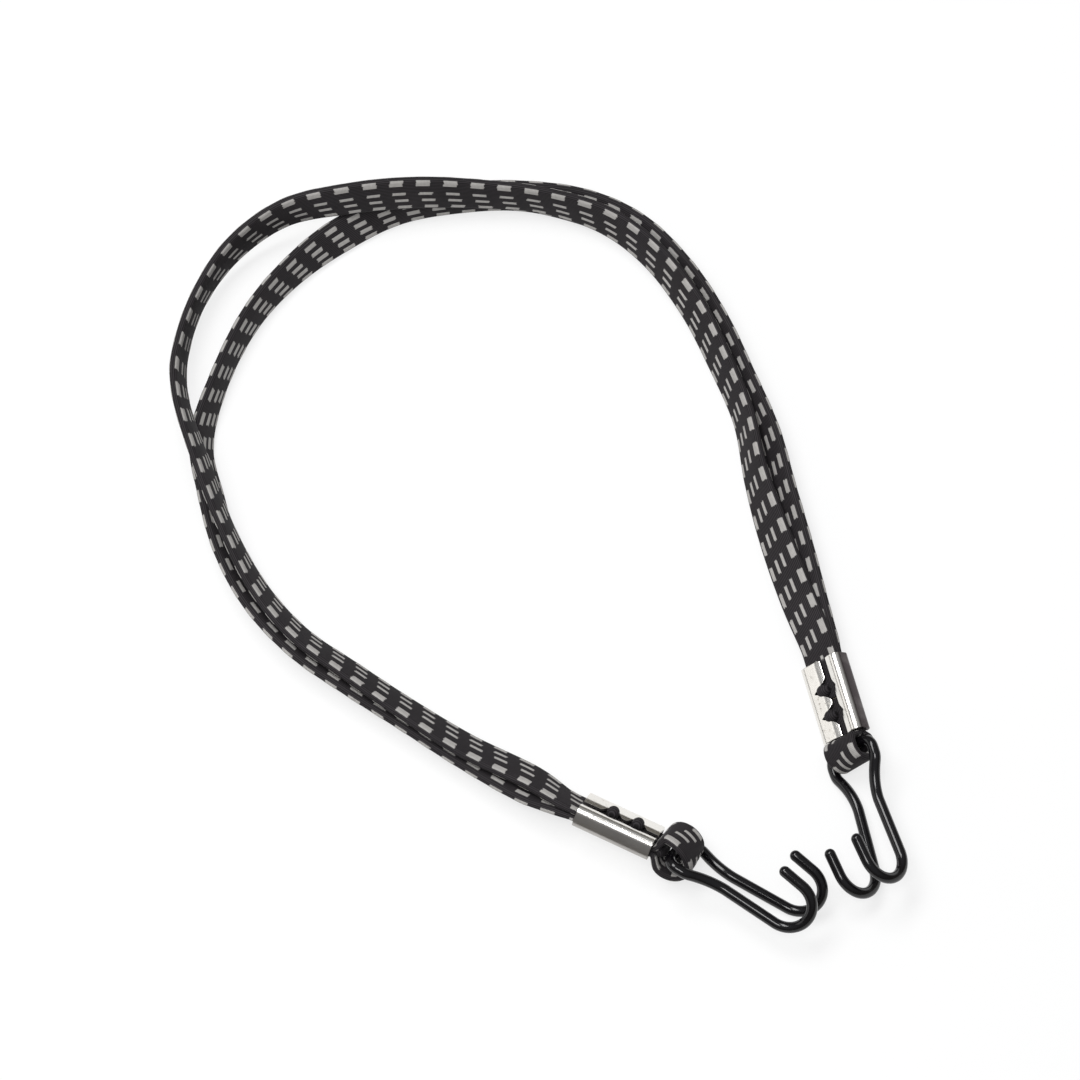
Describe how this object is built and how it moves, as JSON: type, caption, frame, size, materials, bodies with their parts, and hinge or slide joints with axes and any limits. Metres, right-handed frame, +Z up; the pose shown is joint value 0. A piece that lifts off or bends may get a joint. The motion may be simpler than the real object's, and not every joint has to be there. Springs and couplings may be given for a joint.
{
  "type": "elastic tie-down strap",
  "caption": "Flat woven elastic tie-down strap with a crimped metal ferrule, a band eye and a coated wire double hook at each end, lying in an open loop.",
  "frame": {"origin": "on the table in the middle of the hooks, ferrules and eyes", "axes": "+Z up from the table the strap lies on, +X to the right and +Y away from the picture's camera"},
  "size_m": [0.2171, 0.2388, 0.024],
  "materials": {
    "band_cover": "near-black woven elastic band with rows of light grey dashes",
    "rubber_threads": "natural rubber threads",
    "ferrule": "bright plated sheet steel",
    "hook_wire": "drawn steel wire",
    "hook_coat": "glossy black dipped plastic"
  },
  "bodies": {
    "strap": {"band_cover_run_a": "band_cover", "rubber_core_run_a": "rubber_threads", "band_cover_run_b": "band_cover", "rubber_core_run_b": "rubber_threads", "ferrule_left": "ferrule", "band_cover_eye_left": "band_cover", "rubber_core_eye_left": "rubber_threads"},
    "right_end": {"ferrule_right": "ferrule", "band_cover_eye_right": "band_cover", "rubber_core_eye_right": "rubber_threads"},
    "left_hook": {"hook_wire_left": "hook_wire", "hook_coat_left_outer": "hook_coat", "hook_coat_left_inner": "hook_coat"},
    "right_hook": {"hook_wire_right": "hook_wire", "hook_coat_right_outer": "hook_coat", "hook_coat_right_inner": "hook_coat"}
  },
  "joints": [
    {"name": "strap_stretch", "type": "slide", "parent": "strap", "child": "right_end", "axis": [0.2605, -0.9655, 0], "range_m": [0, 0.06], "stiffness_N_per_m": 120, "deforming": ["band_cover_run_a", "band_cover_run_b", "rubber_core_run_a", "rubber_core_run_b"]},
    {"name": "left_hook_swing", "type": "hinge", "parent": "strap", "child": "left_hook", "pos_m": [-0.0181, -0.0178, 0.00875], "axis": [-0.3534, -0.7278, 0.5878], "range_deg": [-120, 120]},
    {"name": "right_hook_swing", "type": "hinge", "parent": "right_end", "child": "right_hook", "pos_m": [0.03298, 0.01365, 0.00861], "axis": [-0.6089, -0.1594, -0.7771], "range_deg": [-120, 120]}
  ]
}
